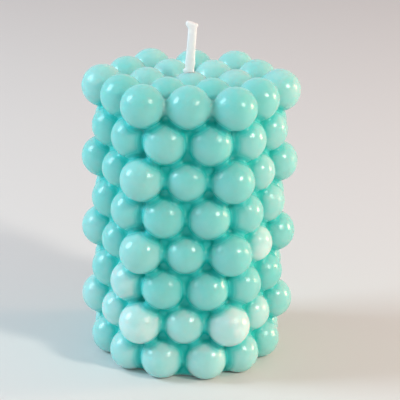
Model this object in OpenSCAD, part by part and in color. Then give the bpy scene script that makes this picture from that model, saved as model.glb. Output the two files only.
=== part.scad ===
// Hexagonal bubble pillar candle: wax balls fused in layers round a solid core, with one flat wick.
// All sizes are in millimetres. The foot rests on Z = 0 and the wick rises along +Z.
// One face of the hexagon looks along -Y, so its corners lie at 0, 60, 120 degrees and so on.

/* [Balls] */
// Diameter of one wax ball
ball_d = 12.2; // [10:0.2:15]
// How far neighbouring balls of one layer sink into each other
row_sink = 0.2; // [0.1:0.05:0.6]
// How far the balls of one layer sink into those of the next
layer_sink = 0.35; // [0.15:0.05:0.9]
// The same under the top layer, which settles deeper while the wax sets
top_sink = 0.8; // [0.15:0.05:1.2]
// Number of layers, counted from the top one, which has balls at its corners
layers = 8; // [4:1:10]
// How far the balls of the cornerless layers stand back from the face
face_inset = 0.3; // [0.1:0.1:1]
// How far the inner balls of the top layer sit below its rim
dome_drop = 0.45; // [0.1:0.05:1]
// How much deeper the middle ball sits, where the wax shrank round the wick
wick_dip = 0.9; // [0.1:0.1:1.4]

/* [Wax between the balls] */
// Width of the waist where two balls run into each other
waist_d = 4.2; // [3.6:0.2:5.4]
// How far the solid core stands proud of the ball centres at a face
core_proud = 0.6; // [0.3:0.1:1.5]
// How far the core's corners are cut back along each face
core_corner_cut = 6.6; // [4:0.2:9]
// Width of the flat under each of the lowest balls
foot_flat_d = 5.2; // [3:0.2:7]

/* [Wick] */
// Width of the flat braided wick, seen from the front
wick_w = 2.4; // [1.6:0.1:3.4]
// Thickness of the wick
wick_t = 1.3; // [0.8:0.1:1.5]
// How far the wick stands off the middle of the pillar, along X
wick_off = -0.4; // [-1:0.1:1]
// Length of the free end, from the knee just above the wax to the tip
wick_free = 13; // [5:0.5:28]
// Lean of the free end towards +X, in degrees
wick_lean = 4; // [1:0.5:12]
// Height of the knee above the wax
wick_knee = 0.8; // [0.6:0.1:3]
// Width of the tip, spread where it was cut
wick_tip_w = 3.6; // [2.6:0.1:5]
// Height of the spread tip
wick_tip_h = 1.6; // [1:0.1:3]
// Slant of the cut across the tip, in degrees
wick_tip_slant = 17; // [0:1:25]

/* [Hidden] */
$fn = 48;

ball_r = ball_d / 2;
// Spacing of the balls in a row
pitch = ball_d - row_sink;
// Spacings along one edge of the hexagonal plan
rings = 2;
// From the axis to the ball centres at the middle of a face
face_dist = rings * pitch * sin(60);

// Rise from one layer to the next, where balls of both lie a given distance apart
function rise(reach) = sqrt(pow(reach, 2) - pow(pitch / 2, 2) - pow(face_inset, 2));
layer_rise = rise(ball_d - layer_sink);
top_rise = rise(ball_d - top_sink);
foot_z = sqrt(pow(ball_r, 2) - pow(foot_flat_d / 2, 2));
top_z = foot_z + layer_rise * (layers - 2) + top_rise;
inner_top_z = top_z - dome_drop;
core_h = inner_top_z + core_proud;
// The wick leaves the wax at the crown of the middle ball
middle_z = inner_top_z - wick_dip;
crown_z = middle_z + ball_r;

// How far the free end of the wick reaches below the knee
knee_lap = wick_w * tan(wick_lean) / 2 + 0.1;

// Depth to which a waist is sunk into each ball, past the circle where it meets the surface
waist_bite = 0.4;
waist_start = sqrt(pow(ball_r, 2) - pow(waist_d / 2, 2)) - waist_bite;
// Two balls closer than this are already joined over the width of a waist
waist_least = 2 * (waist_start + waist_bite) + 0.1;

// Height of a layer's ball centres, with layer 0 at the top
function layer_z(layer) = layer == 0 ? top_z : top_z - top_rise - (layer - 1) * layer_rise;

// Corner of a hexagonal ring of balls
function corner(ring, side) = ring * pitch * [cos(60 * side), sin(60 * side)];

// Point of a plan lifted to a height
function lift(p, z) = [p[0], p[1], z];

// Balls of one hexagonal ring, which has a ball at each corner
function ring_of_balls(ring, z) = [
    for (side = [0:5], step = [0:ring - 1])
    let (from = corner(ring, side), to = corner(ring, side + 1))
    lift(from + (to - from) * step / ring, z)
];

// Balls of a cornerless layer, which has as many balls at each face as there are rings
function rows_of_balls(z) = [
    for (side = [0:5], step = [0:rings - 1])
    let (
        turn = 60 * side + 30,
        out = face_dist - face_inset,
        along = (step - (rings - 1) / 2) * pitch
    )
    lift(out * [cos(turn), sin(turn)] + along * [-sin(turn), cos(turn)], z)
];

// Every ball of the pillar, the middle one and its neighbours first
balls = [
    [0, 0, middle_z],
    for (ring = [1:rings - 1])
    each ring_of_balls(ring, inner_top_z),
    for (layer = [0:layers - 1])
    each layer % 2 == 0 ? ring_of_balls(rings, layer_z(layer)) : rows_of_balls(layer_z(layer))
];

// Waist of wax between two balls, sunk a little way into both
module waist(from, to) {
    run = to - from;
    reach = norm(run);
    translate(from)
        rotate([0, acos(run[2] / reach), atan2(run[1], run[0])])
            translate([0, 0, waist_start])
                cylinder(h = reach - 2 * waist_start, d = waist_d);
}

// The balls and the waists between all that touch
module ball_cluster() {
    // Each sphere's seam is turned outwards, clear of the core and of the waists
    for (ball = balls)
        translate(ball)
            rotate(atan2(ball[1], ball[0]))
                sphere(d = ball_d);
    for (i = [0:len(balls) - 2], j = [i + 1:len(balls) - 1]) {
        reach = norm(balls[j] - balls[i]);
        if (reach < ball_d && reach > waist_least)
            waist(balls[i], balls[j]);
    }
}

// Hexagon with its corners cut, set just outside the ball centres, so that it closes the pits
module core_plan() {
    edge = 2 * (face_dist + core_proud) * tan(30);
    polygon([
        for (side = [0:5], end = [-1, 1])
        edge * [cos(60 * side), sin(60 * side)]
            + core_corner_cut * [cos(60 * side + end * 120), sin(60 * side + end * 120)]
    ]);
}

// Section of the flat wick, its edges rounded in steps of 30 degrees
module wick_section() {
    polygon([
        for (end = [1, -1], step = [-3:3])
        end * [(wick_w - wick_t + wick_t * cos(30 * step)) / 2, wick_t * sin(30 * step) / 2]
    ]);
}

module wax_body() {
    color("mediumturquoise")
        difference() {
            union() {
                translate([0, 0, -1])
                    linear_extrude(core_h + 1)
                        core_plan();
                ball_cluster();
            }
            // The flat foot
            translate([-5 * ball_d, -5 * ball_d, -ball_d])
                cube([10 * ball_d, 10 * ball_d, ball_d]);
            // The wax is cast round the wick, so the channel is the wick's own section
            translate([wick_off, 0, -1])
                linear_extrude(crown_z + 2)
                    wick_section();
        }
}

// Cut end of the wick, drawn from the front and as thick as the rest
module wick_tip() {
    drop = wick_tip_w * tan(wick_tip_slant);
    rotate([90, 0, 0])
        linear_extrude(wick_t, center = true)
            polygon([
                [-wick_w / 2, -0.5],
                [wick_w / 2, -0.5],
                [wick_tip_w / 2, wick_tip_h - drop / 2],
                [-wick_tip_w / 2, wick_tip_h + drop / 2]
            ]);
}

module wick() {
    color("ivory") {
        translate([wick_off, 0, 0])
            linear_extrude(crown_z + wick_knee)
                wick_section();
        // The free end turns about the knee, and starts a little below it to fill the bend
        translate([wick_off, 0, crown_z + wick_knee])
            rotate([0, wick_lean, 0]) {
                translate([0, 0, -knee_lap])
                    linear_extrude(wick_free - wick_tip_h + knee_lap)
                        wick_section();
                translate([0, 0, wick_free - wick_tip_h])
                    wick_tip();
            }
    }
}

wax_body();
wick();
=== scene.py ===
import logging
import math
import random
from dataclasses import dataclass, field
from enum import Enum

import bmesh
import bpy
import numpy as np
from mathutils import Matrix, Vector, noise


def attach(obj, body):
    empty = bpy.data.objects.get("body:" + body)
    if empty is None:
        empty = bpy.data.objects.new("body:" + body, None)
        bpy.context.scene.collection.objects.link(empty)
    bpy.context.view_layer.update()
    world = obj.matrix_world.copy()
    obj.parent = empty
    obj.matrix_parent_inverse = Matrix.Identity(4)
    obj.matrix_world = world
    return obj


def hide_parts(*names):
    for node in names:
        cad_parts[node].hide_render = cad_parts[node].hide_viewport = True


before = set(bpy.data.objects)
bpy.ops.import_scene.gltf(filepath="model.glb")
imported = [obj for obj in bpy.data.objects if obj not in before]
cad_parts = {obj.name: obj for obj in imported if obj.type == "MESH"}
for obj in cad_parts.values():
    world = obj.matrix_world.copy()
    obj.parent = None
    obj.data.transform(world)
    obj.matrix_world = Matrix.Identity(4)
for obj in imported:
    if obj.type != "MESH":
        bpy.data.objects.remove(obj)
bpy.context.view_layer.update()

log = logging.getLogger("bubble_candle")
MM = 0.001
TINY = 1e-6
Colour = tuple[float, float, float]
Span = tuple[float, float]


class Layer(Enum):
    """The two plans that the layers of balls alternate between."""

    CORNERED = "balls at the corners and at the middle of each face"
    CORNERLESS = "two balls to each face"


@dataclass(frozen=True)
class Ball:
    """One wax ball of the pillar, its bearing in whole degrees from +X."""

    centre: tuple[float, float, float]
    radius: float
    layer: int
    bearing: int


@dataclass(frozen=True)
class BallLattice:
    """Where the balls of the pillar lie. Lengths are in metres, and layers count from 1 at the top."""

    ball_r: float = 5.85 * MM
    # The ball at the middle of a face, below the top layer
    middle_r: float = 5.4 * MM
    # Spacing of the balls in a row, and spacings along one edge of the hexagon
    pitch: float = 12.12 * MM
    edge: int = 2
    # Height of the lowest centres, and the rise to each layer above them
    foot_z: float = 5.24 * MM
    layer_rise: float = 10.28 * MM
    top_rise: float = 9.82 * MM
    layers: int = 8
    # How far cornerless layers stand back from the face
    face_inset: float = 0.3 * MM
    # How far the inner balls of the top sink, and how much more the middle one does
    dome_drop: float = 0.45 * MM
    wick_dip: float = 0.9 * MM
    # Balls this many spacings apart have a neck between them
    neck_span: Span = (0.9, 1.05)

    @property
    def face_dist(self) -> float:
        """From the axis to the ball centres at the middle of a face."""
        return self.edge * self.pitch * math.sin(math.radians(60))

    @property
    def top_z(self) -> float:
        """Height of the ball centres of the top layer."""
        return self.foot_z + self.layer_rise * (self.layers - 2) + self.top_rise

    @property
    def crown_z(self) -> float:
        """Height of the crown of the middle ball, where the wick comes out."""
        return self.top_z - self.dome_drop - self.wick_dip + self.ball_r

    def layer_z(self, layer: int) -> float:
        """Height of a layer's ball centres above the foot."""
        return self.top_z if layer == 1 else self.foot_z + (self.layers - layer) * self.layer_rise

    def plan(self, layer: int) -> Layer:
        """The plan that a layer's outer balls follow."""
        return Layer.CORNERED if layer % 2 else Layer.CORNERLESS

    def ring(self, size: int, z: float, layer: int) -> list[Ball]:
        """Balls on the edges of a hexagon with a ball at each corner.

        Args:
            size: Ball spacings along one edge.
            z: Height of the centres.
            layer: The layer that they belong to.

        Returns:
            The balls, anticlockwise from the corner on +X.
        """
        corners = [Matrix.Rotation(math.radians(60 * k), 3, "Z") @ Vector((size * self.pitch, 0, z))
                   for k in range(7)]
        places = [corners[k].lerp(corners[k + 1], step / size) for k in range(6) for step in range(size)]
        return [self.ball(place, layer) for place in places]

    def rows(self, z: float, layer: int) -> list[Ball]:
        """Balls of a cornerless layer, two to each face.

        Args:
            z: Height of the centres.
            layer: The layer that they belong to.

        Returns:
            The balls, anticlockwise from the first face.
        """
        places = []
        for k in range(6):
            turn = Matrix.Rotation(math.radians(60 * k + 30), 3, "Z")
            for side in (-0.5, 0.5):
                places.append(turn @ Vector((self.face_dist - self.face_inset, side * self.pitch, z)))
        return [self.ball(place, layer) for place in places]

    def ball(self, place: Vector, layer: int) -> Ball:
        """A ball at a place. Below the top layer, the ball at the middle of a face is smaller.

        Args:
            place: Its centre.
            layer: The layer that it belongs to.

        Returns:
            The ball.
        """
        bearing = round(math.degrees(math.atan2(place.y, place.x))) % 360
        small = layer > 1 and self.plan(layer) is Layer.CORNERED and bearing % 60 == 30
        return Ball(tuple(place), self.middle_r if small else self.ball_r, layer, bearing)

    def neighbours(self) -> list[tuple[int, int]]:
        """Pairs of balls that a neck joins.

        Returns:
            The places of both in the list of balls.
        """
        centres = np.array([ball.centre for ball in self.balls()])
        apart = np.linalg.norm(centres[:, None] - centres[None], axis=2)
        nearest_apart, farthest_apart = (span * self.pitch for span in self.neck_span)
        joined = (apart > nearest_apart) & (apart < farthest_apart)
        return [(first, second) for first, second in np.argwhere(joined) if first < second]

    def balls(self) -> list[Ball]:
        """Every ball of the pillar.

        Returns:
            The middle ball, the ring round it, then the outer balls from the top layer down.
        """
        inner_z = self.top_z - self.dome_drop
        found = [self.ball(Vector((0, 0, inner_z - self.wick_dip)), 1), *self.ring(1, inner_z, 1)]
        for layer in range(1, self.layers + 1):
            z = self.layer_z(layer)
            cornered = self.plan(layer) is Layer.CORNERED
            found += self.ring(self.edge, z, layer) if cornered else self.rows(z, layer)
        return found


@dataclass(frozen=True)
class PaleBallsAndPaintedLight:
    """How pale each ball is, because some took up less dye and some carry painted light. 0 is clear and
    1 nearly white.
    """

    # Layer, bearing and amount of the balls that stand out in the photo, and at the back
    # On the top layer the amounts are a painted reflection of the room, on the right-hand balls of
    # layers 2 to 4 partly painted warm light, and in the lowest layer partly painted bounce light from
    # the floor
    named: tuple[tuple[int, int, float], ...] = (
        (1, 0, 0.4), (1, 30, 0.3), (1, 60, 0.4), (1, 90, 0.3), (1, 120, 0.4), (1, 150, 0.25),
        (1, 180, 0.35), (1, 240, 0.08), (1, 300, 0.05),
        (2, 314, 0.2), (2, 346, 0.35),
        (3, 0, 0.3), (3, 240, 0.25), (3, 330, 0.4),
        (4, 346, 0.3),
        (5, 120, 0.7), (5, 180, 0.35), (5, 240, 0.35), (5, 330, 1.0),
        (6, 74, 0.5), (6, 226, 0.75),
        (7, 60, 0.9), (7, 90, 0.45), (7, 180, 0.5), (7, 210, 0.75), (7, 240, 0.95), (7, 270, 0.55),
        (7, 300, 1.0), (7, 330, 0.65),
        (8, 106, 0.4), (8, 226, 0.45), (8, 254, 0.5), (8, 286, 0.6), (8, 314, 0.4),
    )
    others: float = 0.16
    low_layer: int = 7
    # Added to the unnamed balls from that layer down: partly milkier wax and partly painted bounce light
    # from the floor
    foot_pale_and_bounce: float = 0.2
    seed: int = 7

    def of_each(self, balls: list[Ball]) -> np.ndarray:
        """How pale each ball is. The unnamed ones differ by chance, and are milkier and paler near the
        foot, partly from painted bounce light off the floor.

        Args:
            balls: The balls of the pillar.

        Returns:
            One amount from 0 to 1 to a ball.
        """
        chance = random.Random(self.seed)
        amounts = {(layer, bearing): amount for layer, bearing, amount in self.named}
        milk_and_painted_light = []
        for ball in balls:
            usual = chance.uniform(0, self.others)
            if ball.layer >= self.low_layer:
                usual += self.foot_pale_and_bounce
            milk_and_painted_light.append(amounts.get((ball.layer, ball.bearing), usual))
        return np.array(milk_and_painted_light)


def nearest(points: np.ndarray, places: np.ndarray, count: int) -> np.ndarray:
    """Row numbers of the places that lie nearest each point, this many to a point and in no order."""
    far = (places**2).sum(axis=1) - 2 * points @ places.T
    return np.argpartition(far, count, axis=1)[:, :count]


@dataclass
class WaxSurface:
    """The skin of the cast wax: balls, necks and core run into each other, and the foot is flat.

    The skin is where a blended distance to the balls, the necks between them and the core is zero.
    """

    lattice: BallLattice
    # How softly the parts run into each other
    blend: float = 0.3 * MM
    neck_r: float = 2.0 * MM
    core_proud: float = 0.8 * MM
    core_corner_cut: float = 6.6 * MM
    foot_blend: float = 0.28 * MM
    dimple_depth: float = 0.35 * MM
    dimple_r: float = 4.5 * MM
    unevenness: float = 0.05 * MM
    unevenness_size: float = 5 * MM
    # Distances from the second ball, and from the core, over which the painted shade of the necks and
    # pits fades out
    neck_shade_reach: Span = (0.6 * MM, 3.2 * MM)
    pit_shade_reach: Span = (0.3 * MM, 1.8 * MM)
    # Distances below the top layer's centres over which that painted shade comes in
    shade_top_fade: Span = (1 * MM, 4 * MM)
    # Height above the foot over which the painted shade fades in
    shade_foot_edge: float = 1.2 * MM
    # Over how far one ball's paleness, from its dye and from painted light, runs into the next
    paleness_blend: float = 0.7 * MM
    # How many places are settled at a time, and the flattest slope that counts
    batch: int = 4096
    least_steep: float = 0.05
    centres: np.ndarray = field(init=False)
    radii: np.ndarray = field(init=False)
    neck_starts: np.ndarray = field(init=False)
    neck_runs: np.ndarray = field(init=False)
    sides: np.ndarray = field(init=False)

    def __post_init__(self) -> None:
        """Sets out the balls, the necks and the sides of the core."""
        self.centres = np.array([ball.centre for ball in self.lattice.balls()])
        self.radii = np.array([ball.radius for ball in self.lattice.balls()])
        pairs = self.lattice.neighbours()
        self.neck_starts = self.centres[[first for first, _ in pairs]]
        self.neck_runs = self.centres[[second for _, second in pairs]] - self.neck_starts
        reach = self.lattice.face_dist + self.core_proud
        corner = reach / math.cos(math.radians(30)) - self.core_corner_cut / 2
        faces = [(math.radians(60 * k + 30), reach) for k in range(6)]
        cuts = [(math.radians(60 * k), corner) for k in range(6)]
        sides = [(math.cos(a), math.sin(a), 0.0, far) for a, far in faces + cuts]
        top = self.lattice.top_z - self.lattice.dome_drop + self.core_proud
        self.sides = np.array([*sides, (0.0, 0.0, 1.0, top)])

    def core(self, points: np.ndarray) -> tuple[np.ndarray, np.ndarray]:
        """Distance to the core, with its edges rounded.

        Args:
            points: Places as an array of rows.

        Returns:
            The distance at each place, and its slope.
        """
        far = points @ self.sides[:, :3].T - self.sides[:, 3]
        most = far.max(axis=1, keepdims=True)
        weight = np.exp((far - most) / self.blend)
        total = weight.sum(axis=1, keepdims=True)
        return (most + self.blend * np.log(total))[:, 0], (weight / total) @ self.sides[:, :3]

    def balls(self, points: np.ndarray, count: int = 6) -> tuple[np.ndarray, np.ndarray, np.ndarray]:
        """Distances to the nearest balls.

        Args:
            points: Places as an array of rows.
            count: How many balls to look at for each place.

        Returns:
            The row numbers of the balls, the distances, and the directions from the centres.
        """
        which = nearest(points, self.centres, count)
        out = points[:, None, :] - self.centres[which]
        far = np.linalg.norm(out, axis=2)
        return which, far - self.radii[which], out / far[..., None]

    def necks(self, points: np.ndarray, count: int = 6) -> tuple[np.ndarray, np.ndarray]:
        """Distances to the nearest necks.

        Args:
            points: Places as an array of rows.
            count: How many necks to look at for each place.

        Returns:
            The distances, and the directions from the middle lines.
        """
        which = nearest(points, self.neck_starts + self.neck_runs / 2, count)
        run = self.neck_runs[which]
        out = points[:, None, :] - self.neck_starts[which]
        along = np.clip((out * run).sum(axis=2) / (run * run).sum(axis=2), 0, 1)
        out -= along[..., None] * run
        far = np.maximum(np.linalg.norm(out, axis=2), TINY)
        return far - self.neck_r, out / far[..., None]

    def height(self, points: np.ndarray) -> tuple[np.ndarray, np.ndarray]:
        """Blended distance to the wax.

        Args:
            points: Places as an array of rows.

        Returns:
            The distance above the skin at each place, and its slope.
        """
        _, ball_gap, ball_way = self.balls(points)
        neck_gap, neck_way = self.necks(points)
        core_gap, core_way = self.core(points)
        every = np.hstack([ball_gap, neck_gap, core_gap[:, None]])
        ways = np.concatenate([ball_way, neck_way, core_way[:, None]], axis=1)
        least = every.min(axis=1, keepdims=True)
        weight = np.exp((least - every) / self.blend)
        total = weight.sum(axis=1, keepdims=True)
        above = (least - self.blend * np.log(total))[:, 0]
        return self.with_foot(points, above, np.einsum("ij,ijk->ik", weight / total, ways))

    def with_foot(self, points: np.ndarray, above: np.ndarray,
                  slope: np.ndarray) -> tuple[np.ndarray, np.ndarray]:
        """Cuts the wax off at the foot, with a soft edge and a slight dimple round the wick.

        Args:
            points: Places as an array of rows.
            above: Distance above the uncut skin.
            slope: Slope of that distance.

        Returns:
            The distance above the cut skin, and its slope.
        """
        dimple = self.dimple_depth * np.exp(-(points[:, 0] ** 2 + points[:, 1] ** 2) / self.dimple_r**2)
        below = dimple - points[:, 2]
        most = np.maximum(above, below)
        wax = np.exp((above - most) / self.foot_blend)
        cut = np.exp((below - most) / self.foot_blend)
        share = (cut / (wax + cut))[:, None]
        down = np.column_stack([-2 * dimple / self.dimple_r**2 * points[:, k] for k in (0, 1)]
                               + [-np.ones(len(points))])
        return most + self.foot_blend * np.log(wax + cut), slope * (1 - share) + down * share

    def settle(self, points: np.ndarray, rounds: int = 3) -> np.ndarray:
        """Moves places onto the skin, straight down its slope.

        Args:
            points: Places as an array of rows.
            rounds: How often to repeat the step.

        Returns:
            The places on the skin.
        """
        moved = points.copy()
        longest = 2 * self.blend
        for start in range(0, len(points), self.batch):
            part = moved[start:start + self.batch]
            for _ in range(rounds):
                above, slope = self.height(part)
                steep = np.maximum((slope**2).sum(axis=1), self.least_steep)
                part -= np.clip(above / steep, -longest, longest)[:, None] * slope
        return moved

    def marks(self, points: np.ndarray, milk_and_painted_light: np.ndarray) -> dict[str, np.ndarray]:
        """What the finish needs to know of each place.

        Args:
            points: Places as an array of rows.
            milk_and_painted_light: How pale each ball is, from milkier wax and from painted light.

        Returns:
            How much painted shade of a neck and of a pit each place takes, how pale it is from milkier
            wax and painted light, and how high up its ball it is.
        """
        which, gap, way = self.balls(points)
        deep = np.clip(points[:, 2] / self.shade_foot_edge, 0, 1)
        deep *= 1 - self.near(self.lattice.top_z - points[:, 2], self.shade_top_fade)
        # Painted shade of the necks, strongest where two balls are about equally near
        neck = self.near(np.partition(gap, 1, axis=1)[:, 1], self.neck_shade_reach)
        # Painted shade of the pits, strongest where the skin lies on the core
        pit = self.near(self.core(points)[0], self.pit_shade_reach)
        share = np.exp((gap.min(axis=1, keepdims=True) - gap) / self.paleness_blend)
        share /= share.sum(axis=1, keepdims=True)
        crown = (share * way[:, :, 2]).sum(axis=1)
        return {"neck": neck * deep, "pit": pit * deep, "milk_and_painted_light": (share * milk_and_painted_light[which]).sum(axis=1),
                "crown": np.clip(crown, 0, 1)}

    @staticmethod
    def near(gap: np.ndarray, reach: Span) -> np.ndarray:
        """How near places are, from 1 within the first distance to 0 beyond the second."""
        return np.clip((reach[1] - gap) / (reach[1] - reach[0]), 0, 1)


class NodeSheet:
    """Places shader nodes in a tree and wires them by socket name."""

    def __init__(self, tree: bpy.types.NodeTree) -> None:
        """Starts on the tree of a material, a world or a group, and empties it."""
        self.tree = tree
        tree.nodes.clear()

    def add(self, kind: str, settings: dict | None = None, **inputs: object) -> bpy.types.Node:
        """Adds a node.

        Args:
            kind: The node's type name, without its ShaderNode prefix.
            settings: Properties of the node.
            **inputs: Values or output sockets for its inputs, with underscores for spaces.

        Returns:
            The node.
        """
        made = self.tree.nodes.new(kind if kind.startswith("NodeGroup") else "ShaderNode" + kind)
        for name, value in (settings or {}).items():
            setattr(made, name, value)
        for name, value in inputs.items():
            self.feed(made.inputs[name.replace("_", " ")], value)
        return made

    def feed(self, socket: bpy.types.NodeSocket, value: object) -> None:
        """Wires an output to a socket, or sets the socket's value.

        Args:
            socket: The input socket.
            value: An output socket, a number or a colour.
        """
        if isinstance(value, bpy.types.NodeSocket):
            self.tree.links.new(value, socket)
        elif isinstance(value, tuple) and len(value) == 3 and socket.type == "RGBA":
            socket.default_value = (*value, 1.0)
        else:
            socket.default_value = value

    def mix(self, share: object, first: object, second: object) -> bpy.types.NodeSocket:
        """Mixes two colours.

        Args:
            share: Share of the second colour, as a number or an output.
            first: Colour or output at 0.
            second: Colour or output at 1.

        Returns:
            The mixed colour's output.
        """
        made = self.add("Mix", {"data_type": "RGBA"})
        # The colours' sockets come after those for other kinds of data
        for place, value in ((0, share), (6, first), (7, second)):
            self.feed(made.inputs[place], value)
        return made.outputs[2]

    def sum(self, operation: str, first: object, second: object) -> bpy.types.NodeSocket:
        """Works out a number.

        Args:
            operation: The Math node's operation.
            first: First number or output.
            second: Second number or output.

        Returns:
            The result's output.
        """
        made = self.add("Math", {"operation": operation})
        self.feed(made.inputs[0], first)
        self.feed(made.inputs[1], second)
        return made.outputs[0]

    def spread(self, value: object, low: object, high: object, to_low: float = 0.0,
               to_high: float = 1.0) -> bpy.types.NodeSocket:
        """Maps a range of numbers onto another, held at its ends.

        Args:
            value: Number or output to map.
            low: Number or output that gives to_low.
            high: Number or output that gives to_high.
            to_low: Result at low.
            to_high: Result at high.

        Returns:
            The result's output.
        """
        return self.add("MapRange", {"interpolation_type": "SMOOTHSTEP"}, Value=value, From_Min=low,
                        From_Max=high, To_Min=to_low, To_Max=to_high).outputs[0]

    def read(self, name: str) -> bpy.types.NodeSocket:
        """A number that is painted on the piece, by its attribute's name."""
        return self.add("Attribute", {"attribute_name": name}).outputs["Fac"]


def shared_group(name: str, inputs: dict[str, float],
                 output: str) -> tuple[bpy.types.NodeTree, NodeSheet, bpy.types.Node]:
    """Makes an empty shader node group with named sockets.

    Args:
        name: The group's name.
        inputs: Names of the number inputs, with their usual values.
        output: Name of the number that it gives out.

    Returns:
        The group, a sheet to wire it on, and its input node.
    """
    group = bpy.data.node_groups.new(name, "ShaderNodeTree")
    for label, usual in inputs.items():
        socket = group.interface.new_socket(label, in_out="INPUT", socket_type="NodeSocketFloat")
        socket.default_value = usual
    group.interface.new_socket(output, in_out="OUTPUT", socket_type="NodeSocketFloat")
    sheet = NodeSheet(group)
    return group, sheet, sheet.add("NodeGroupInput")


def blotch_group() -> bpy.types.NodeTree:
    """Soft blotches over a surface, such as cloudy dye or dusty bloom.

    Returns:
        A group with the blotches per metre, their detail and their sharpness, giving a mask.
    """
    # Middle of the noise, and how far to each side of it the softest edge fades
    middle, softest = 0.5, 0.35
    usual = {"Per metre": 200.0, "Detail": 3.0, "Sharpness": 0.5}
    group, sheet, given = shared_group("Blotches", usual, "Mask")
    place = sheet.add("TexCoord").outputs["Object"]
    cloud = sheet.add("TexNoise", Vector=place, Scale=given.outputs["Per metre"],
                      Detail=given.outputs["Detail"])
    softness = sheet.sum("SUBTRACT", 1.0, given.outputs["Sharpness"])
    half = sheet.sum("MULTIPLY", softness, softest)
    low, high = sheet.sum("SUBTRACT", middle, half), sheet.sum("ADD", middle, half)
    sheet.add("NodeGroupOutput", Mask=sheet.spread(cloud.outputs[0], low, high))
    return group


def wrinkle_group() -> bpy.types.NodeTree:
    """Fine wrinkles and grain of a skin, as a height.

    Returns:
        A group with the wrinkles and the grains per metre and the share of grain, giving a height.
    """
    usual = {"Wrinkles per metre": 700.0, "Grains per metre": 2600.0, "Grain share": 0.3}
    group, sheet, given = shared_group("Wrinkles", usual, "Height")
    place = sheet.add("TexCoord").outputs["Object"]
    wrinkle = sheet.add("TexNoise", Vector=place, Scale=given.outputs["Wrinkles per metre"], Detail=2.0,
                        Distortion=0.6)
    grain = sheet.add("TexNoise", Vector=place, Scale=given.outputs["Grains per metre"], Detail=1.0)
    grain_part = sheet.sum("MULTIPLY", grain.outputs[0], given.outputs["Grain share"])
    sheet.add("NodeGroupOutput", Height=sheet.sum("ADD", wrinkle.outputs[0], grain_part))
    return group


@dataclass(frozen=True)
class Effects:
    """The node groups that the finishes share, each built once."""

    blotches: bpy.types.NodeTree
    wrinkles: bpy.types.NodeTree

    @classmethod
    def build(cls) -> "Effects":
        """Builds the groups."""
        return cls(blotch_group(), wrinkle_group())


@dataclass(frozen=True)
class Blotches:
    """One use of the shared blotches. A sharpness of 0 gives soft edges, and near 1 hard ones."""

    per_metre: float
    detail: float
    sharpness: float

    def place(self, sheet: NodeSheet, effects: Effects) -> bpy.types.NodeSocket:
        """Places the blotches in a material, and gives the mask's output."""
        return sheet.add("Group", {"node_tree": effects.blotches}, Per_metre=self.per_metre,
                         Detail=self.detail, Sharpness=self.sharpness).outputs["Mask"]


@dataclass(frozen=True)
class Wrinkles:
    """One use of the shared wrinkles and grain."""

    per_metre: float
    grains_per_metre: float
    grain_share: float

    def place(self, sheet: NodeSheet, effects: Effects) -> bpy.types.NodeSocket:
        """Places the wrinkles in a material, and gives the height's output."""
        return sheet.add("Group", {"node_tree": effects.wrinkles}, Wrinkles_per_metre=self.per_metre,
                         Grains_per_metre=self.grains_per_metre,
                         Grain_share=self.grain_share).outputs["Height"]


def new_material(name: str) -> tuple[bpy.types.Material, NodeSheet]:
    """Makes an empty node material.

    Args:
        name: The material's name.

    Returns:
        The material and a sheet to wire it on.
    """
    made = bpy.data.materials.new(name)
    made.use_nodes = True
    return made, NodeSheet(made.node_tree)


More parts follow.
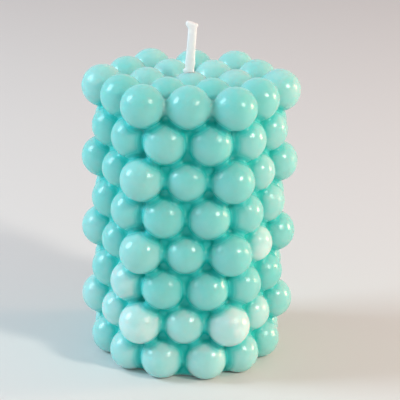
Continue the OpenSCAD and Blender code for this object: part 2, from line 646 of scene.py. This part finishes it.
@dataclass(frozen=True)
class WaxFinish:
    """Dyed candle wax, satin and a little translucent, with painted shade that darkens and saturates the
    necks and pits, and paler in places from milkier wax and from painted light.
    """

    lit: Colour = (0.22, 0.64, 0.60)
    # Painted shade: the necks and the pits between balls take darker, more saturated colours where shade
    # and light scattered through the wax fall
    neck: Colour = (0.02, 0.60, 0.56)
    deep: Colour = (0.0, 0.60, 0.54)
    milk: Colour = (0.65, 0.83, 0.80)
    cloud: Blotches = Blotches(per_metre=170.0, detail=3.0, sharpness=0.35)
    bloom: Blotches = Blotches(per_metre=900.0, detail=4.0, sharpness=0.5)
    # Share of the milk that shows outside and inside the clouds
    milk_share: Span = (0.62, 0.95)
    bloom_share: float = 0.025
    # Outside and inside the bloom
    roughness: Span = (0.215, 0.265)
    crevice_roughness: float = 0.5
    wrinkles: Wrinkles = Wrinkles(per_metre=1350.0, grains_per_metre=2600.0, grain_share=0.15)
    wrinkle_depth: float = 0.08 * MM
    # Share of the wrinkles that shows everywhere, and the clouds and heights up a ball that have more
    wrinkle_least: float = 0.04
    wrinkle_clouds: Span = (0.1, 0.7)
    wrinkle_from: Span = (0.1, 0.4)
    wrinkle_until: Span = (0.65, 0.85)
    ior: float = 1.44
    gloss: float = 0.65
    scatter_share: float = 0.9
    scatter: Colour = (0.12, 1.0, 0.9)
    scatter_depth: float = 5.0 * MM

    def material(self, effects: Effects) -> bpy.types.Material:
        """Builds the material.

        Args:
            effects: The shared node groups.

        Returns:
            The wax material.
        """
        made, sheet = new_material("turquoise_wax")
        neck, pit = sheet.read("neck"), sheet.read("pit")
        cloud, bloom = self.cloud.place(sheet, effects), self.bloom.place(sheet, effects)
        clouded = sheet.spread(cloud, 0.0, 1.0, *self.milk_share)
        # Paler balls: milkier wax, and painted light on the top layer, the right-hand side and near the
        # foot
        tint = sheet.mix(sheet.sum("MULTIPLY", sheet.read("milk_and_painted_light"), clouded), self.lit, self.milk)
        tint = sheet.mix(sheet.spread(bloom, 0.0, 1.0, 0.0, self.bloom_share), tint, self.milk)
        # Painted shade in the necks and pits, darker and more saturated than the lit wax
        tint = sheet.mix(sheet.spread(neck, 0.0, 1.0), tint, self.neck)
        tint = sheet.mix(sheet.spread(pit, 0.0, 1.0), tint, self.deep)
        crevice = sheet.sum("MULTIPLY", sheet.sum("MAXIMUM", neck, pit), self.crevice_roughness)
        rough = sheet.sum("MAXIMUM", sheet.spread(bloom, 0.0, 1.0, *self.roughness), crevice)
        shader = sheet.add(
            "BsdfPrincipled", {"subsurface_method": "RANDOM_WALK"}, Base_Color=tint, Roughness=rough,
            IOR=self.ior, Specular_IOR_Level=self.gloss, Subsurface_Weight=self.scatter_share,
            Subsurface_Radius=self.scatter, Subsurface_Scale=self.scatter_depth,
            Normal=self.relief(sheet, effects, cloud))
        sheet.add("OutputMaterial", Surface=shader.outputs[0])
        return made

    def relief(self, sheet: NodeSheet, effects: Effects,
               cloud: bpy.types.NodeSocket) -> bpy.types.NodeSocket:
        """Wrinkles the upper side of each ball, in patches, and leaves its crown smooth.

        Args:
            sheet: The sheet of the material.
            effects: The shared node groups.
            cloud: Mask of the patches.

        Returns:
            The normal's output.
        """
        crown = sheet.read("crown")
        belt = sheet.sum("MULTIPLY", sheet.spread(crown, *self.wrinkle_from),
                         sheet.spread(crown, *self.wrinkle_until, 1.0, 0.0))
        patches = sheet.sum("MULTIPLY", sheet.spread(cloud, *self.wrinkle_clouds), belt)
        strength = sheet.sum("ADD", patches, self.wrinkle_least)
        height = sheet.sum("MULTIPLY", self.wrinkles.place(sheet, effects), strength)
        return sheet.add("Bump", Height=height, Strength=1.0, Distance=self.wrinkle_depth).outputs[0]


@dataclass(frozen=True)
class CottonFinish:
    """White cotton, soaked in clear wax."""

    white: Colour = (0.98, 0.98, 0.97)
    shade: Colour = (0.90, 0.91, 0.90)
    soak: Blotches = Blotches(per_metre=500.0, detail=4.0, sharpness=0.3)
    soak_share: float = 0.35
    roughness: float = 0.42
    fibres: Wrinkles = Wrinkles(per_metre=1800.0, grains_per_metre=7000.0, grain_share=0.6)
    fibre_depth: float = 0.02 * MM
    ior: float = 1.44
    scatter_share: float = 0.8
    scatter: Colour = (1.0, 1.0, 0.95)
    scatter_depth: float = 1.6 * MM

    def material(self, effects: Effects) -> bpy.types.Material:
        """Builds the material.

        Args:
            effects: The shared node groups.

        Returns:
            The wick's material.
        """
        made, sheet = new_material("waxed_cotton")
        soaked = sheet.sum("MULTIPLY", self.soak.place(sheet, effects), self.soak_share)
        bump = sheet.add("Bump", Height=self.fibres.place(sheet, effects), Strength=1.0,
                         Distance=self.fibre_depth)
        shader = sheet.add(
            "BsdfPrincipled", {"subsurface_method": "RANDOM_WALK"},
            Base_Color=sheet.mix(soaked, self.white, self.shade), Roughness=self.roughness, IOR=self.ior,
            Subsurface_Weight=self.scatter_share, Subsurface_Radius=self.scatter,
            Subsurface_Scale=self.scatter_depth, Normal=bump.outputs[0])
        sheet.add("OutputMaterial", Surface=shader.outputs[0])
        return made


@dataclass(frozen=True)
class FloorFinish:
    """Plain pale ground, the same from edge to edge."""

    pale: Colour = (0.755, 0.755, 0.735)
    roughness: float = 0.85
    gloss: float = 0.15

    def material(self) -> bpy.types.Material:
        """Builds the floor's material.

        Returns:
            The floor's material.
        """
        made, sheet = new_material("pale_ground")
        shader = sheet.add("BsdfPrincipled", Base_Color=self.pale, Roughness=self.roughness,
                           Specular_IOR_Level=self.gloss)
        sheet.add("OutputMaterial", Surface=shader.outputs[0])
        return made


def piece_from(name: str, bm: bmesh.types.BMesh,
               material: bpy.types.Material | None = None) -> bpy.types.Object:
    """Turns a bmesh into an object at the origin.

    Args:
        name: The object's name.
        bm: The modelled shape, which is freed.
        material: Its material, if it has one yet.

    Returns:
        The object, with smooth faces.
    """
    mesh = bpy.data.meshes.new(name)
    bm.to_mesh(mesh)
    bm.free()
    mesh.shade_smooth()
    made = bpy.data.objects.new(name, mesh)
    bpy.context.scene.collection.objects.link(made)
    if material:
        mesh.materials.append(material)
    return made


def with_modifier_applied(made: bpy.types.Object, kind: str, **settings: object) -> None:
    """Runs one modifier on an object and keeps its result as the mesh.

    Args:
        made: The object.
        kind: The modifier's type.
        **settings: Its properties.
    """
    added = made.modifiers.new(kind.title(), kind)
    for name, value in settings.items():
        setattr(added, name, value)
    graph = bpy.context.evaluated_depsgraph_get()
    shaped = bpy.data.meshes.new_from_object(made.evaluated_get(graph))
    made.modifiers.clear()
    old = made.data
    made.data = shaped
    bpy.data.meshes.remove(old)


def spots(mesh: bpy.types.Mesh) -> np.ndarray:
    """Places of a mesh's vertices, as an array of rows."""
    flat = np.empty(len(mesh.vertices) * 3)
    mesh.vertices.foreach_get("co", flat)
    return flat.reshape(-1, 3)


def paint(mesh: bpy.types.Mesh, name: str, values: np.ndarray) -> None:
    """Writes one number to each vertex of a mesh, under a name."""
    mesh.attributes.new(name, "FLOAT", "POINT").data.foreach_set("value", values.astype(np.float32))


@dataclass(frozen=True)
class Braid:
    """Relief of the wick's yarns, in columns that lean one way and the other by turns."""

    length: float = 1.7 * MM
    depth: float = 0.09 * MM
    columns: int = 4
    # How much of its length a yarn climbs across its column
    climb: float = 0.9
    # Powers that round the yarns and the columns off, fuller below 1
    yarn_power: float = 0.7
    column_power: float = 0.4
    # Parts of the depth that both take, and the level that counts as the flat
    yarn_share: float = 0.7
    column_share: float = 0.5
    flat: float = 0.6

    def relief(self, across: float, height: float, front: bool) -> float:
        """Height of the braid's relief.

        Args:
            across: Place across the wick, from -1 to 1.
            height: Height above the crown.
            front: True on the front face, whose yarns run the other way from the back's.

        Returns:
            How far the surface is raised there.
        """
        column = (across + 1) / 2 * self.columns
        part = column - math.floor(column)
        way = 1 if (math.floor(column) % 2 == 0) == front else -1
        turn = height / self.length + way * (part - 0.5) * self.climb
        yarn = abs(math.cos(math.pi * turn)) ** self.yarn_power
        groove = math.sin(math.pi * min(max(part, 0.0), 1.0)) ** self.column_power
        return self.depth * (yarn * self.yarn_share + groove * self.column_share - self.flat)


@dataclass
class WickShape:
    """The flat braided wick. Heights are above the crown of the middle ball, lengths in metres."""

    crown_z: float
    width: float = 2.4 * MM
    thickness: float = 1.3 * MM
    middle: float = -0.4 * MM
    free: float = 13.6 * MM
    braid: Braid = Braid()
    braid_from: float = -2.8 * MM
    # Inside the wax a few rings are enough, up to the first of these heights
    hidden_to: float = -3.0 * MM
    hidden_rings: int = 12
    shown_from: float = -2.9 * MM
    shown_rings: int = 150
    ring_points: int = 40
    # Rings in the cut tip, each this share of the radius further in
    tip_insets: tuple[float, ...] = (0.1, 0.2, 0.3)
    # Slant of the cut in degrees, the share of the free end above which it begins, and its ragged edge
    tip_slant: float = 17.0
    tip_from: float = 0.9
    fray: float = 0.25 * MM
    fray_size: float = 0.35 * MM
    # Power that squares the section off, 1 for an oval, and how much thinner it is where it spreads
    section_power: float = 0.66
    thinning: float = 0.12
    # The bead of wax at the knee, on the side away from the lean
    bead: float = 0.8 * MM
    bead_power: float = 1.5
    bead_z: float = 0.3 * MM
    bead_reach: float = 0.55 * MM
    # Height and middle in millimetres, and the share of the width, as the photo shows them
    seen: tuple[tuple[float, float, float], ...] = (
        (-3.0, -0.40, 1.00), (0.0, -0.45, 1.00), (0.9, -0.42, 0.92), (2.2, -0.45, 1.20),
        (4.0, -0.34, 1.05), (6.2, -0.24, 1.00), (9.0, -0.08, 0.98), (11.9, 0.06, 0.98),
        (12.3, 0.0, 1.10), (12.8, -0.14, 1.42), (13.3, -0.10, 1.40), (13.6, 0.02, 1.22),
    )

    def build(self, material: bpy.types.Material) -> bpy.types.Object:
        """Models the wick from foot to cut tip.

        Args:
            material: The waxed cotton.

        Returns:
            The wick.
        """
        hidden = np.linspace(-self.crown_z, self.hidden_to, self.hidden_rings)
        shown = np.linspace(self.shown_from, self.free, self.shown_rings)
        stations = [*hidden, *shown]
        bm = bmesh.new()
        bmesh.ops.create_circle(bm, cap_ends=True, segments=self.ring_points, radius=1.0,
                                matrix=Matrix.Translation((0, 0, stations[0])))
        edges = list(bm.edges)
        for low, high in zip(stations, stations[1:]):
            grown = bmesh.ops.extrude_edge_only(bm, edges=edges)["geom"]
            verts = [part for part in grown if isinstance(part, bmesh.types.BMVert)]
            edges = [part for part in grown if isinstance(part, bmesh.types.BMEdge)]
            bmesh.ops.translate(bm, verts=verts, vec=(0, 0, high - low))
        cap = bmesh.ops.contextual_create(bm, geom=edges)["faces"]
        for inset in self.tip_insets:
            bmesh.ops.inset_region(bm, faces=cap, thickness=inset)
        bmesh.ops.poke(bm, faces=cap)
        for vert in bm.verts:
            vert.co = self.shaped(vert.co)
        bmesh.ops.recalc_face_normals(bm, faces=bm.faces)
        return piece_from("braided_wick", bm, material)

    def shaped(self, spot: Vector) -> Vector:
        """Gives a point of the plain tube its place on the wick.

        Args:
            spot: Point of a tube of radius 1, with its height above the crown.

        Returns:
            The point on the wick.
        """
        height = spot.z
        around = math.atan2(spot.y, spot.x)
        inner = min(math.hypot(spot.x, spot.y), 1.0)
        heights, middles, shares = zip(*self.seen)
        centre = np.interp(height / MM, heights, middles) * MM
        share = np.interp(height / MM, heights, shares)
        wide = self.width / 2 * share
        thick = self.thickness / 2 * (1 - self.thinning * (share - 1))
        x = wide * self.squared(math.cos(around))
        y = thick * self.squared(math.sin(around))
        puff = self.braid.relief(x / wide, height, y > 0) if height > self.braid_from else 0.0
        out = Vector((math.cos(around), math.sin(around), 0)) * puff
        level = math.exp(-((height - self.bead_z) / self.bead_reach) ** 2)
        out.x -= self.bead * max(0.0, -math.cos(around)) ** self.bead_power * level
        place = Vector((x, y, 0)) * inner + out * inner
        top = max(0.0, height / self.free - self.tip_from) / (1 - self.tip_from)
        slant = -place.x * math.tan(math.radians(self.tip_slant)) * top
        ragged = noise.noise(Vector((place.x, place.y, 0)) / self.fray_size) * self.fray * top
        return Vector((place.x + centre, place.y, self.crown_z + height + slant + ragged))

    def squared(self, part: float) -> float:
        """Moves a sine or cosine outwards, which makes an oval of the wick more of an oblong."""
        return math.copysign(abs(part) ** self.section_power, part)


@dataclass
class WaxPillar:
    """The cast wax, as one closed mesh."""

    surface: WaxSurface
    finish: WaxFinish
    milk_and_painted_light: PaleBallsAndPaintedLight
    wick: WickShape
    voxel: float = 0.7 * MM
    quick_times: int = 2
    # Sides of the plain shapes, and how much of the way between two balls a plain neck spans
    rough_sides: int = 12
    ball_rounds: int = 3
    neck_share: float = 0.9
    # How often the mesh is settled on the skin, and how often it is smoothed before each time
    settle_rounds: int = 4
    smooth_rounds: int = 2
    # Below this height the wax stays even
    even_to: float = 1.0 * MM
    channel_sides: int = 24
    channel_spare: float = 4 * MM

    def build(self, effects: Effects) -> bpy.types.Object:
        """Models, marks and dresses the wax.

        Args:
            effects: The shared node groups.

        Returns:
            The wax pillar.
        """
        made = piece_from("wax_pillar", self.rough_form())
        size = self.voxel * 1
        with_modifier_applied(made, "REMESH", mode="VOXEL", voxel_size=size)
        self.relax(made)
        self.cut_channel(made)
        self.mark(made.data)
        made.data.materials.clear()
        made.data.materials.append(self.finish.material(effects))
        made.data.shade_smooth()
        return made

    def rough_form(self) -> bmesh.types.BMesh:
        """Piles up the core, the balls and the necks as plain shapes.

        Returns:
            The shapes, overlapping.
        """
        lattice = self.surface.lattice
        bm = bmesh.new()
        core_h = lattice.top_z - lattice.dome_drop + self.surface.core_proud
        self.add_rod(bm, lattice.face_dist, core_h, Matrix.Translation((0, 0, core_h / 2)))
        for ball in lattice.balls():
            bmesh.ops.create_icosphere(bm, subdivisions=self.ball_rounds, radius=ball.radius,
                                       matrix=Matrix.Translation(ball.centre))
        centres = [Vector(ball.centre) for ball in lattice.balls()]
        for first, second in lattice.neighbours():
            run = centres[second] - centres[first]
            turn = run.to_track_quat("Z", "Y").to_matrix().to_4x4()
            middle = Matrix.Translation((centres[first] + centres[second]) / 2)
            self.add_rod(bm, self.surface.neck_r, run.length * self.neck_share, middle @ turn)
        return bm

    def add_rod(self, bm: bmesh.types.BMesh, radius: float, length: float, place: Matrix) -> None:
        """Adds a plain rod, which stands for the core or for a neck.

        Args:
            bm: The bmesh of the rough form.
            radius: The rod's radius.
            length: Its length.
            place: Where its middle lies and how it is turned.
        """
        bmesh.ops.create_cone(bm, cap_ends=True, segments=self.rough_sides, radius1=radius,
                              radius2=radius, depth=length, matrix=place)

    def relax(self, made: bpy.types.Object) -> None:
        """Evens the mesh out and settles it on the wax's skin, which is slightly uneven.

        Args:
            made: The pillar.
        """
        bm = bmesh.new()
        bm.from_mesh(made.data)
        for _ in range(self.settle_rounds):
            for _ in range(self.smooth_rounds):
                bmesh.ops.smooth_vert(bm, verts=bm.verts, factor=0.5, use_axis_x=True, use_axis_y=True,
                                      use_axis_z=True)
            settled = self.surface.settle(np.array([vert.co for vert in bm.verts]))
            for vert, place in zip(bm.verts, settled):
                vert.co = place
        bm.normal_update()
        for vert in bm.verts:
            if vert.co.z > self.even_to:
                sunk = (1 - noise.noise(vert.co / self.surface.unevenness_size)) / 2
                vert.co -= vert.normal * sunk * self.surface.unevenness
        bm.to_mesh(made.data)
        bm.free()

    def cut_channel(self, made: bpy.types.Object) -> None:
        """Cuts the channel that the wick stands in.

        Args:
            made: The pillar.
        """
        bm = bmesh.new()
        wick = self.wick
        middle = Matrix.Translation((wick.middle, 0, wick.crown_z / 2))
        size = Matrix.Diagonal((wick.width / 2, wick.thickness / 2, 1, 1))
        bmesh.ops.create_cone(bm, cap_ends=True, segments=self.channel_sides, radius1=1, radius2=1,
                              depth=wick.crown_z + self.channel_spare, matrix=middle @ size)
        cutter = piece_from("channel_cutter", bm)
        with_modifier_applied(made, "BOOLEAN", operation="DIFFERENCE", solver="EXACT", object=cutter)
        bpy.data.objects.remove(cutter)

    def mark(self, mesh: bpy.types.Mesh) -> None:
        """Paints what the finish needs to know on the vertices.

        Args:
            mesh: The pillar's mesh.
        """
        milk_and_painted_light = self.milk_and_painted_light.of_each(self.surface.lattice.balls())
        for name, values in self.surface.marks(spots(mesh), milk_and_painted_light).items():
            paint(mesh, name, values)


@dataclass(frozen=True)
class SoftLamp:
    """A rectangular soft light, placed by where it stands from the candle, in degrees and metres."""

    name: str
    bearing: float
    elevation: float
    distance: float
    wide: float
    tall: float
    power: float
    colour: Colour

    def place(self, target: Vector) -> None:
        """Puts the lamp up, facing the candle.

        Args:
            target: The point that it faces.
        """
        lamp = bpy.data.lights.new(self.name, "AREA")
        lamp.shape = "RECTANGLE"
        lamp.size, lamp.size_y = self.wide, self.tall
        lamp.energy = self.power
        lamp.color = self.colour
        made = bpy.data.objects.new(self.name, lamp)
        bpy.context.scene.collection.objects.link(made)
        turn, lift = math.radians(self.bearing), math.radians(self.elevation)
        way = Vector((math.cos(turn) * math.cos(lift), math.sin(turn) * math.cos(lift), math.sin(lift)))
        made.location = target + way * self.distance
        made.rotation_euler = way.to_track_quat("Z", "Y").to_euler()


@dataclass(frozen=True)
class PhotoCamera:
    """The camera at the photo's viewing angle, its lens and sensor in millimetres."""

    azimuth: float = 0.85
    elevation: float = 18.8
    roll: float = 1.365
    distance: float = 401.5 * MM
    target_right: float = 3.17 * MM
    target_z: float = 44.29 * MM
    lens: float = 128.54
    sensor: float = 36.0
    clip: Span = (0.02, 20.0)

    def place(self) -> None:
        """Puts the camera up and makes it the scene's own."""
        turn, lift, lean = (math.radians(a) for a in (self.azimuth, self.elevation, self.roll))
        level = math.cos(lift)
        back = Vector((math.sin(turn) * level, -math.cos(turn) * level, math.sin(lift)))
        right = (-back).cross(Vector((0, 0, 1))).normalized()
        upward = right.cross(-back)
        across = math.cos(lean) * right + math.sin(lean) * upward
        above = math.cos(lean) * upward - math.sin(lean) * right
        data = bpy.data.cameras.new("photo_camera")
        data.lens = self.lens
        data.sensor_width = self.sensor
        data.clip_start, data.clip_end = self.clip
        made = bpy.data.objects.new("photo_camera", data)
        bpy.context.scene.collection.objects.link(made)
        target = Vector((0, 0, self.target_z)) + right * self.target_right
        turned = Matrix((across, above, back)).transposed().to_4x4()
        made.matrix_world = Matrix.Translation(target + back * self.distance) @ turned
        bpy.context.scene.camera = made


@dataclass(frozen=True)
class Studio:
    """Floor, lamps and the even light of the room. The camera looks in from -Y."""

    floor_size: float = 8.0
    floor_cells: int = 8
    # Height of the point that the lamps face
    target_z: float = 45 * MM
    # Strength of the room's light level with the candle and straight above it
    fill_low: float = 0.64
    fill_high: float = 0.37
    # Share of it that comes from behind the camera, and the Y of the way over which that changes
    front_share: float = 0.8
    front_span: Span = (-0.9, -0.1)
    left_sky: Colour = (0.95, 1.01, 1.21)
    right_sky: Colour = (1.38, 1.05, 0.90)
    # What the camera sees behind the floor, and what the wax mirrors
    backdrop: Colour = (0.66, 0.64, 0.61)
    front_wall: Colour = (0.10, 0.17, 0.19)
    back_wall: Colour = (0.85, 0.82, 0.78)
    wall_span: Span = (-0.2, 0.5)
    lamps: tuple[SoftLamp, ...] = (
        SoftLamp("left_window", bearing=184.4, elevation=31.0, distance=0.9, wide=0.30, tall=0.40,
                 power=5.4, colour=(0.66, 0.88, 1.0)),
        SoftLamp("right_lamp", bearing=-38.5, elevation=32.5, distance=0.9, wide=0.11, tall=0.11,
                 power=3.5, colour=(1.0, 0.94, 0.84)),
        SoftLamp("right_window", bearing=8.7, elevation=10.0, distance=0.9, wide=0.16, tall=0.24,
                 power=3.6, colour=(1.0, 0.58, 0.38)),
    )

    def build(self) -> None:
        """Lays the floor and lights the set."""
        bm = bmesh.new()
        bmesh.ops.create_grid(bm, x_segments=self.floor_cells, y_segments=self.floor_cells,
                              size=self.floor_size / 2)
        floor = piece_from("studio_floor", bm, FloorFinish().material())
        for lamp in self.lamps:
            lamp.place(Vector((0, 0, self.target_z)))
        self.light_room()

    def light_room(self) -> None:
        """Lights the set from all round, with other walls for the camera and for mirrored light."""
        world = bpy.data.worlds.new("room_light")
        bpy.context.scene.world = world
        world.use_nodes = True
        sheet = NodeSheet(world.node_tree)
        path = sheet.add("LightPath")
        glints = sheet.sum("MAXIMUM", path.outputs["Is Glossy Ray"], path.outputs["Is Transmission Ray"])
        seen = sheet.sum("MAXIMUM", path.outputs["Is Camera Ray"], glints)
        way = sheet.add("SeparateXYZ", Vector=sheet.add("TexCoord").outputs["Generated"])
        sky = sheet.mix(sheet.spread(way.outputs["X"], -1.0, 1.0), self.left_sky, self.right_sky)
        level = sheet.spread(way.outputs["Z"], 0.0, 1.0, self.fill_low, self.fill_high)
        share = sheet.spread(way.outputs["Y"], *self.front_span, self.front_share, 1.0)
        room = sheet.add("Background", Color=sky, Strength=sheet.sum("MULTIPLY", level, share))
        behind = sheet.spread(way.outputs["Y"], *self.wall_span)
        mirrored = sheet.mix(behind, self.front_wall, self.back_wall)
        walls = sheet.add("Background", Color=sheet.mix(glints, self.backdrop, mirrored), Strength=1.0)
        both = sheet.add("MixShader")
        for place, output in enumerate((seen, room.outputs[0], walls.outputs[0])):
            sheet.feed(both.inputs[place], output)
        sheet.add("OutputWorld", Surface=both.outputs[0])


def main() -> None:
    """Builds the candle and its set, and reports each piece."""
    logging.basicConfig(level=logging.INFO, format="%(message)s")
    bpy.context.scene.view_settings.view_transform = "Standard"
    effects = Effects.build()
    lattice = BallLattice()
    wick_shape = WickShape(crown_z=lattice.crown_z)
    wick = wick_shape.build(CottonFinish().material(effects))
    wax = WaxPillar(WaxSurface(lattice), WaxFinish(), PaleBallsAndPaintedLight(), wick_shape).build(effects)
    for piece, node, slot in ((wax, "wax_body", "wax"), (wick, "wick", "wick")):
        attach(piece, "root")
        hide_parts(node)
        piece.data.calc_loop_triangles()
        log.info("%s: %d triangles, stands for %s", piece.name, len(piece.data.loop_triangles), node)
    PhotoCamera().place()
    Studio().build()


if __name__ == "__main__":
    main()
